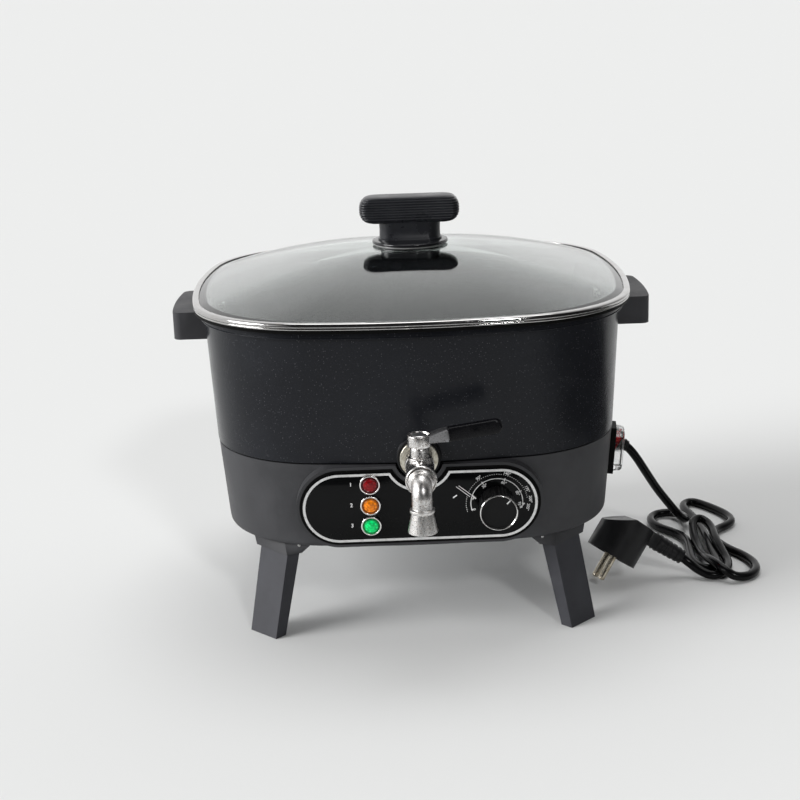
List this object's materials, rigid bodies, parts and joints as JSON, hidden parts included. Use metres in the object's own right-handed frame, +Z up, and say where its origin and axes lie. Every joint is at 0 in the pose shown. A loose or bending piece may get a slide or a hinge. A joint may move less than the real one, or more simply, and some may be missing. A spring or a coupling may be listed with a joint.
{
  "type": "candle wax melter",
  "caption": "Square electric wax melting pot on four splayed legs, with a glass lid, a front ball tap, a dial panel with lamps, a side switch and a mains lead.",
  "frame": {"origin": "centre of the footprint of the appliance without its lead, on the surface that it stands on", "axes": "+Z up, -Y towards the tap and the control panel, +X towards the switch and the lead"},
  "size_m": [0.4259, 0.3614, 0.281],
  "materials": {
    "housing_plastic": "fine satin moulded",
    "pot_coating": "speckled non-stick, semi-gloss",
    "black_plastic": "satin moulded",
    "leg_plastic": "satin moulded",
    "panel_gloss": "gloss",
    "chrome": "worn plated",
    "bezel_chrome": "plated",
    "screw_steel": "bright",
    "zinc_steel": "zinc plated",
    "heater_steel": "heat tinted",
    "shield_aluminium": "mill",
    "band_steel": "polished",
    "washer_steel": "worn",
    "silicone": "matt",
    "rubber": "matt",
    "vinyl": "dipped gloss",
    "white_plastic": "plain",
    "clear_plastic": "clear soft",
    "switch_red": "gloss",
    "cord_pvc": "satin PVC",
    "pin_nickel": "nickel plated",
    "lid_glass": "polished tempered",
    "lens_red": "gloss",
    "lens_amber": "gloss",
    "lens_green": "gloss"
  },
  "bodies": {
    "root": {"base_housing": "housing_plastic", "bottom_plate": "zinc_steel", "base_screws": "screw_steel", "wax_pot": "pot_coating", "pot_seal_ring": "silicone", "handle_screws": "screw_steel", "side_handle_right": "black_plastic", "side_handle_left": "black_plastic", "heating_element": "heater_steel", "heat_shield": "shield_aluminium", "shield_posts": "zinc_steel", "thermal_fuse": "zinc_steel", "thermostat_body": "black_plastic", "terminal_block": "white_plastic", "panel_plate": "panel_gloss", "tap_washer_rubber": "rubber", "tap_washer_steel": "washer_steel", "tap_washer_inner": "silicone", "tap_nut": "chrome", "tap_body": "chrome", "tap_seats": "white_plastic", "tap_spout_nut": "chrome", "tap_spout": "chrome", "switch_body": "black_plastic", "switch_cover": "clear_plastic", "cord_gland": "rubber", "power_cord": "cord_pvc", "cord_hank": "cord_pvc", "cord_lead": "cord_pvc", "plug_body": "cord_pvc", "plug_pins": "pin_nickel", "lamp_bezel_top": "bezel_chrome", "lamp_red": "lens_red", "lamp_bezel_middle": "bezel_chrome", "lamp_amber": "lens_amber", "lamp_bezel_bottom": "bezel_chrome", "lamp_green": "lens_green", "leg_front_left": "leg_plastic", "leg_socket_front_left": "housing_plastic", "leg_front_right": "leg_plastic", "leg_socket_front_right": "housing_plastic", "leg_rear_left": "leg_plastic", "leg_socket_rear_left": "housing_plastic", "leg_rear_right": "leg_plastic", "leg_socket_rear_right": "housing_plastic"},
    "tap_handle": {"tap_ball": "chrome", "tap_stem": "chrome", "tap_lever": "chrome", "tap_grip": "vinyl", "tap_cap_screw": "chrome"},
    "thermostat_knob": {"knob": "black_plastic", "knob_ring": "chrome", "knob_shaft": "zinc_steel"},
    "switch_rocker": {"rocker": "switch_red"},
    "lid": {"lid_glass": "lid_glass", "lid_band": "band_steel", "lid_handle_base": "black_plastic", "lid_handle": "black_plastic", "lid_handle_washer": "silicone", "lid_handle_screw": "screw_steel"}
  },
  "joints": [
    {"name": "lid_lift", "type": "slide", "parent": "root", "child": "lid", "axis": [0, 0, 1], "range_m": [0, 0.12]},
    {"name": "tap_turn", "type": "hinge", "parent": "root", "child": "tap_handle", "pos_m": [0, -0.14325, 0.148], "axis": [0, 0, 1], "range_deg": [-90, 0]},
    {"name": "knob_turn", "type": "hinge", "parent": "root", "child": "thermostat_knob", "pos_m": [0.0505, -0.12237, 0.09378], "axis": [0, -0.9966, -0.0819], "range_deg": [-64, 186]},
    {"name": "rocker_tip", "type": "hinge", "parent": "root", "child": "switch_rocker", "pos_m": [0.13972, -0.02142, 0.09988], "axis": [0.1146, 0.9934, 0], "range_deg": [-24, 0]}
  ]
}
